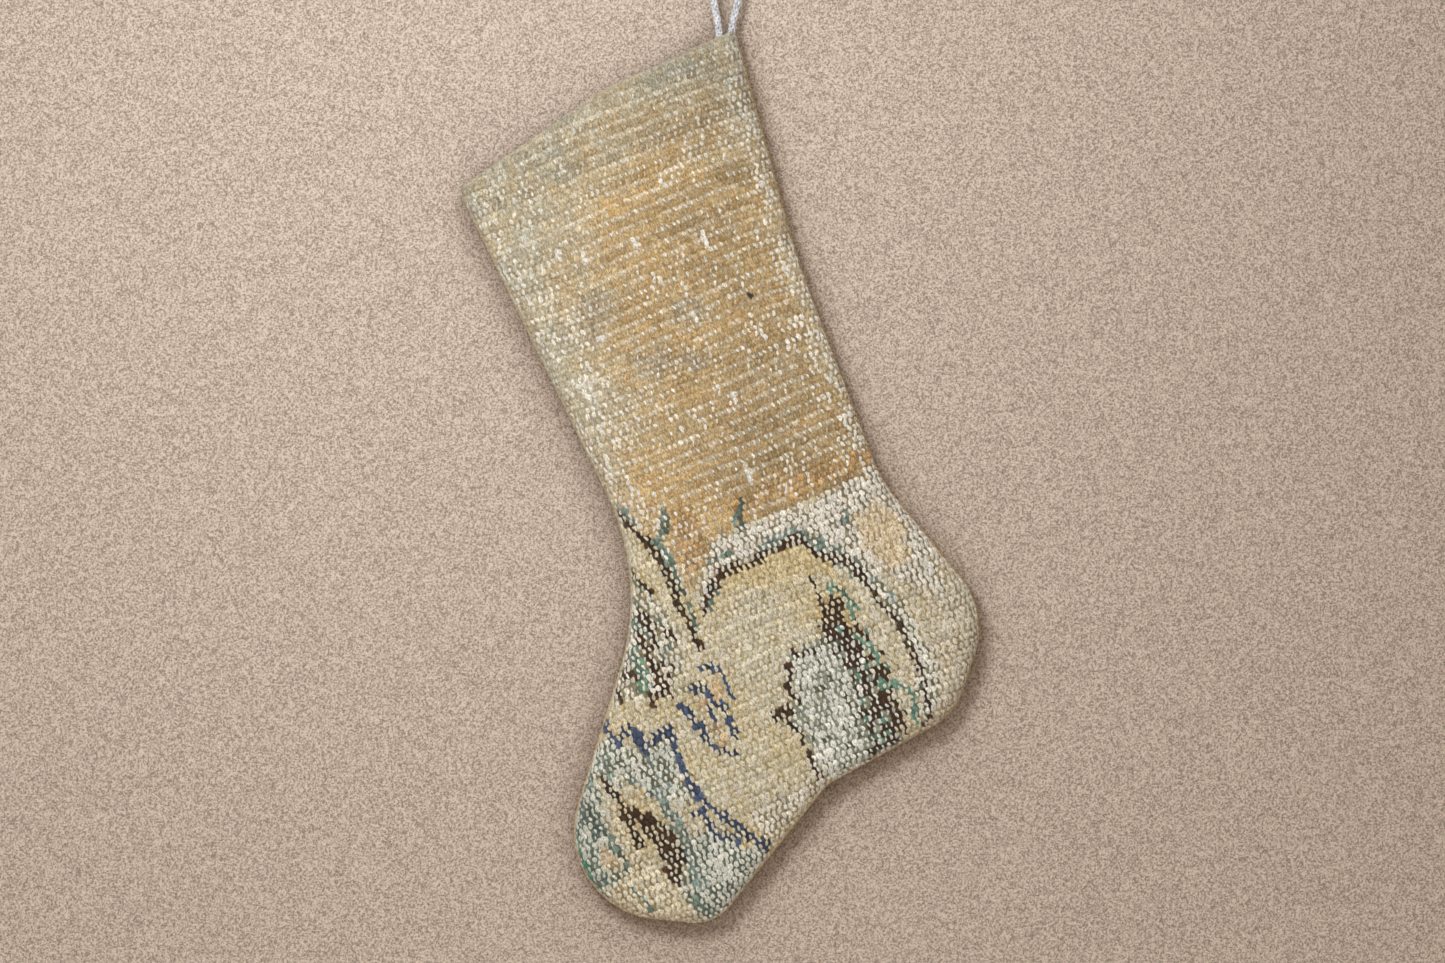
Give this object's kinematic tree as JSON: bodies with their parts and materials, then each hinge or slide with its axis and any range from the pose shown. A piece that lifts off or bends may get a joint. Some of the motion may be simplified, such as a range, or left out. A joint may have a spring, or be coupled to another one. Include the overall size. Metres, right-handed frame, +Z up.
{
  "type": "hanging christmas stocking",
  "caption": "Flat Christmas-style stocking with a knotted rug front, a canvas back, a lining and a braided cord loop to hang it by.",
  "frame": {"origin": "inside the top of the cord loop, where it rests on a peg or nail", "axes": "+Z up, +X towards the heel, -Y out of the patterned front face"},
  "size_m": [0.2586, 0.0195, 0.4664],
  "materials": {
    "rug_pile": "matte hand-knotted wool and cotton",
    "back_canvas": "matte plain-weave cotton",
    "lining_cloth": "matte fine cotton",
    "hem_cloth": "matte turned-in cotton",
    "white_cord": "matte braided cotton",
    "sewing_thread": "matte cotton thread"
  },
  "bodies": {
    "loop": {"hanging_loop": "white_cord"},
    "stocking": {"front_rug_panel": "rug_pile", "back_canvas_panel": "back_canvas", "front_lining": "lining_cloth", "back_lining": "lining_cloth", "front_hem_facing": "hem_cloth", "back_hem_facing": "hem_cloth", "side_seam_allowance": "back_canvas", "side_seam_thread": "sewing_thread", "hem_stitches": "sewing_thread", "loop_tails": "white_cord", "loop_bar_tack": "sewing_thread"}
  },
  "joints": [
    {"name": "swing", "type": "hinge", "parent": "loop", "child": "stocking", "pos_m": [0, 0, -0.0266], "axis": [0, 1, 0], "range_deg": [-30, 30]}
  ]
}
